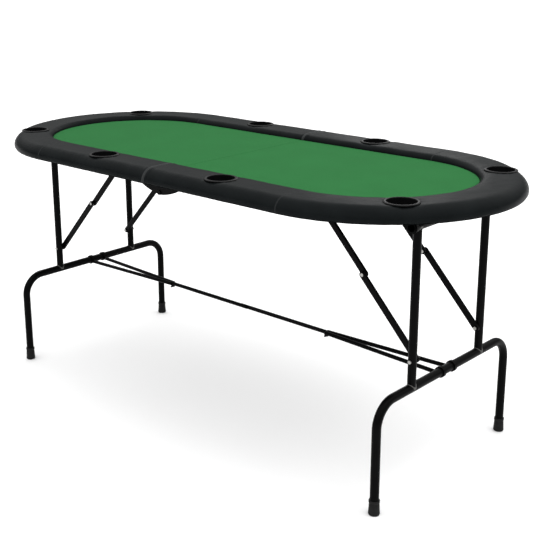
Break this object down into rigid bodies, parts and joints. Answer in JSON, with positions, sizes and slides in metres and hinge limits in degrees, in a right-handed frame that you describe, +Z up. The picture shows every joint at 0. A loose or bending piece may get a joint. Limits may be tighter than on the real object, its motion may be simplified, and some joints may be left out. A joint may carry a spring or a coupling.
{
  "type": "folding poker table",
  "caption": "Oval card table with a padded rail, cup holders and green cloth; it folds at the middle and stands on two braced folding leg frames.",
  "frame": {"origin": "on the floor, under the middle of the fold", "axes": "+X along the table's length, +Y from the near to the far side, +Z up"},
  "size_m": [1.7998, 0.82, 0.8115],
  "materials": {
    "rail_vinyl": "satin black vinyl over foam",
    "playing_felt": "green speed cloth over thin foam",
    "board": "board with a dark sealed underside",
    "cup_plastic": "black moulded plastic",
    "black_tube": "satin black powder coat",
    "zinc": "zinc plated",
    "foot_rubber": "matt black rubber"
  },
  "bodies": {
    "left_top": {"board_left": "board", "felt_pad_left": "playing_felt", "rail_near_left": "rail_vinyl", "rail_far_left": "rail_vinyl", "rail_end_left": "rail_vinyl", "cup_near_left": "cup_plastic", "cup_far_left": "cup_plastic", "cup_end_near_left": "cup_plastic", "cup_end_far_left": "cup_plastic", "hinge_plate_near_left": "black_tube", "hinge_plate_far_left": "black_tube", "leg_pivot_brackets_left": "black_tube", "brace_brackets_left": "black_tube", "screws_left": "zinc", "hinge_pins": "black_tube"},
    "right_top": {"board_right": "board", "felt_pad_right": "playing_felt", "rail_near_right": "rail_vinyl", "rail_far_right": "rail_vinyl", "rail_end_right": "rail_vinyl", "cup_near_right": "cup_plastic", "cup_far_right": "cup_plastic", "cup_end_near_right": "cup_plastic", "cup_end_far_right": "cup_plastic", "hinge_plate_near_right": "black_tube", "hinge_plate_far_right": "black_tube", "leg_pivot_brackets_right": "black_tube", "brace_brackets_right": "black_tube", "screws_right": "zinc"},
    "leg_frame_left": {"foot_frame_left": "black_tube", "pivot_tube_left": "black_tube", "post_near_left": "black_tube", "post_far_left": "black_tube", "foot_caps_left": "foot_rubber", "brace_bolts_left": "zinc"},
    "upper_braces_left": {"upper_brace_near_left": "black_tube", "upper_brace_far_left": "black_tube", "mid_rivets_inner_left": "zinc"},
    "lower_braces_left": {"lower_brace_near_left": "black_tube", "lower_brace_far_left": "black_tube", "mid_rivets_outer_left": "zinc"},
    "tie_fork_left": {"tie_fork_left": "black_tube", "tie_pin_left": "black_tube"},
    "tie_bar_left": {"tie_bar_left": "black_tube"},
    "leg_frame_right": {"foot_frame_right": "black_tube", "pivot_tube_right": "black_tube", "post_near_right": "black_tube", "post_far_right": "black_tube", "foot_caps_right": "foot_rubber", "brace_bolts_right": "zinc"},
    "upper_braces_right": {"upper_brace_near_right": "black_tube", "upper_brace_far_right": "black_tube", "mid_rivets_inner_right": "zinc"},
    "lower_braces_right": {"lower_brace_near_right": "black_tube", "lower_brace_far_right": "black_tube", "mid_rivets_outer_right": "zinc"},
    "tie_fork_right": {"tie_fork_right": "black_tube", "tie_pin_right": "black_tube"},
    "tie_bar_right": {"tie_bar_right": "black_tube"}
  },
  "joints": [
    {"name": "top_fold", "type": "hinge", "parent": "left_top", "child": "right_top", "pos_m": [0, 0, 0.732], "axis": [0, 1, 0], "range_deg": [0, 65]},
    {"name": "leg_fold_right", "type": "hinge", "parent": "right_top", "child": "leg_frame_right", "pos_m": [0.745, 0, 0.735], "axis": [0, 1, 0], "range_deg": [0, 90]},
    {"name": "upper_brace_swing_right", "type": "hinge", "parent": "right_top", "child": "upper_braces_right", "pos_m": [0.41, 0, 0.735], "axis": [0, 1, 0], "range_deg": [-47.56, 0]},
    {"name": "lower_brace_swing_right", "type": "hinge", "parent": "leg_frame_right", "child": "lower_braces_right", "pos_m": [0.745, 0, 0.375], "axis": [0, 1, 0], "range_deg": [0, 43.44]},
    {"name": "tie_fork_swing_right", "type": "hinge", "parent": "leg_frame_right", "child": "tie_fork_right", "pos_m": [0.745, 0, 0.3], "axis": [0, 1, 0], "range_deg": [-271, 0]},
    {"name": "tie_bar_swing_right", "type": "hinge", "parent": "tie_fork_right", "child": "tie_bar_right", "pos_m": [0.334, 0, 0.285], "axis": [0, 1, 0], "range_deg": [-182.5, 0]},
    {"name": "leg_fold_left", "type": "hinge", "parent": "left_top", "child": "leg_frame_left", "pos_m": [-0.745, 0, 0.735], "axis": [0, -1, 0], "range_deg": [0, 90]},
    {"name": "upper_brace_swing_left", "type": "hinge", "parent": "left_top", "child": "upper_braces_left", "pos_m": [-0.41, 0, 0.735], "axis": [0, -1, 0], "range_deg": [-47.56, 0]},
    {"name": "lower_brace_swing_left", "type": "hinge", "parent": "leg_frame_left", "child": "lower_braces_left", "pos_m": [-0.745, 0, 0.375], "axis": [0, -1, 0], "range_deg": [0, 43.44]},
    {"name": "tie_fork_swing_left", "type": "hinge", "parent": "leg_frame_left", "child": "tie_fork_left", "pos_m": [-0.745, 0, 0.3], "axis": [0, -1, 0], "range_deg": [-271, 0]},
    {"name": "tie_bar_swing_left", "type": "hinge", "parent": "tie_fork_left", "child": "tie_bar_left", "pos_m": [-0.334, 0, 0.285], "axis": [0, -1, 0], "range_deg": [-182.5, 0]}
  ],
  "couplings": [
    {"joint": "upper_brace_swing_right", "follows": "leg_fold_right", "ratio": -0.52289},
    {"joint": "lower_brace_swing_right", "follows": "leg_fold_right", "ratio": 0.47711},
    {"joint": "tie_fork_swing_right", "follows": "leg_fold_right", "ratio": -3},
    {"joint": "tie_bar_swing_right", "follows": "leg_fold_right", "ratio": -2.02},
    {"joint": "upper_brace_swing_left", "follows": "leg_fold_left", "ratio": -0.52289},
    {"joint": "lower_brace_swing_left", "follows": "leg_fold_left", "ratio": 0.47711},
    {"joint": "tie_fork_swing_left", "follows": "leg_fold_left", "ratio": -3},
    {"joint": "tie_bar_swing_left", "follows": "leg_fold_left", "ratio": -2.02}
  ]
}
